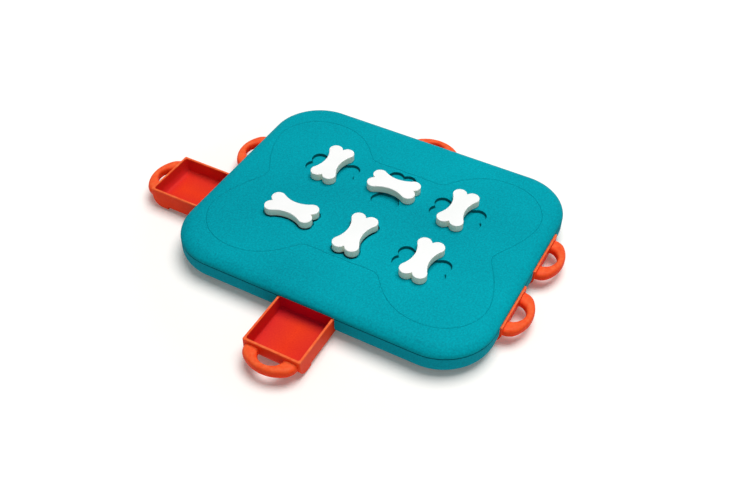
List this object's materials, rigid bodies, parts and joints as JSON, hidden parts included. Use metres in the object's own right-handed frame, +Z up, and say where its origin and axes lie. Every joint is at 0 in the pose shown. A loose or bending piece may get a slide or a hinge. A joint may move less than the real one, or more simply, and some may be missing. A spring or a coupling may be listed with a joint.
{
  "type": "dog treat puzzle board with locking drawers",
  "caption": "Flat teal treat puzzle board for dogs with orange pull-out drawers round its sides, each held shut by a turning white bone on top",
  "frame": {"origin": "middle of the board, on the surface that it stands on, at the underside of the central foot", "axes": "+X along the board's long side towards the two drawers of the right short side, +Y towards the back long side, +Z up"},
  "size_m": [0.3876, 0.3306, 0.0379],
  "materials": {
    "teal_composite": "fine matte grain",
    "orange_plastic": "satin moulded plastic",
    "white_plastic": "smooth matte",
    "bar_plastic": "plain moulded",
    "steel": "plated screw",
    "foot_rubber": "soft matte"
  },
  "bodies": {
    "board": {"base_tray": "teal_composite", "top_cover": "teal_composite", "case_screws": "steel", "rubber_feet": "foot_rubber"},
    "drawer_left_back": {"drawer_left_back": "orange_plastic"},
    "bone_left_back": {"bone_left_back": "white_plastic", "lock_bar_left_back": "bar_plastic"},
    "drawer_left_front": {"drawer_left_front": "orange_plastic"},
    "bone_left_front": {"bone_left_front": "white_plastic", "lock_bar_left_front": "bar_plastic"},
    "drawer_back": {"drawer_back": "orange_plastic"},
    "bone_back": {"bone_back": "white_plastic", "lock_bar_back": "bar_plastic"},
    "drawer_front": {"drawer_front": "orange_plastic"},
    "bone_front": {"bone_front": "white_plastic", "lock_bar_front": "bar_plastic"},
    "drawer_right_back": {"drawer_right_back": "orange_plastic"},
    "bone_right_back": {"bone_right_back": "white_plastic", "lock_bar_right_back": "bar_plastic"},
    "drawer_right_front": {"drawer_right_front": "orange_plastic"},
    "bone_right_front": {"bone_right_front": "white_plastic", "lock_bar_right_front": "bar_plastic"}
  },
  "joints": [
    {"name": "slide_left_back", "type": "slide", "parent": "board", "child": "drawer_left_back", "axis": [-1, 0, 0], "range_m": [0, 0.051]},
    {"name": "turn_left_back", "type": "hinge", "parent": "board", "child": "bone_left_back", "pos_m": [-0.065, 0.0365, 0.0305], "axis": [0, 0, 1], "continuous": true},
    {"name": "slide_left_front", "type": "slide", "parent": "board", "child": "drawer_left_front", "axis": [-1, 0, 0], "range_m": [-0.051, 0]},
    {"name": "turn_left_front", "type": "hinge", "parent": "board", "child": "bone_left_front", "pos_m": [-0.065, -0.0365, 0.0305], "axis": [0, 0, 1], "continuous": true},
    {"name": "slide_back", "type": "slide", "parent": "board", "child": "drawer_back", "axis": [0, 1, 0], "range_m": [0, 0.051]},
    {"name": "turn_back", "type": "hinge", "parent": "board", "child": "bone_back", "pos_m": [0, 0.0365, 0.0305], "axis": [0, 0, 1], "continuous": true},
    {"name": "slide_front", "type": "slide", "parent": "board", "child": "drawer_front", "axis": [0, -1, 0], "range_m": [-0.051, 0]},
    {"name": "turn_front", "type": "hinge", "parent": "board", "child": "bone_front", "pos_m": [0, -0.0365, 0.0305], "axis": [0, 0, 1], "continuous": true},
    {"name": "slide_right_back", "type": "slide", "parent": "board", "child": "drawer_right_back", "axis": [1, 0, 0], "range_m": [0, 0.051]},
    {"name": "turn_right_back", "type": "hinge", "parent": "board", "child": "bone_right_back", "pos_m": [0.065, 0.0365, 0.0305], "axis": [0, 0, 1], "continuous": true},
    {"name": "slide_right_front", "type": "slide", "parent": "board", "child": "drawer_right_front", "axis": [1, 0, 0], "range_m": [0, 0.051]},
    {"name": "turn_right_front", "type": "hinge", "parent": "board", "child": "bone_right_front", "pos_m": [0.065, -0.0365, 0.0305], "axis": [0, 0, 1], "continuous": true}
  ]
}
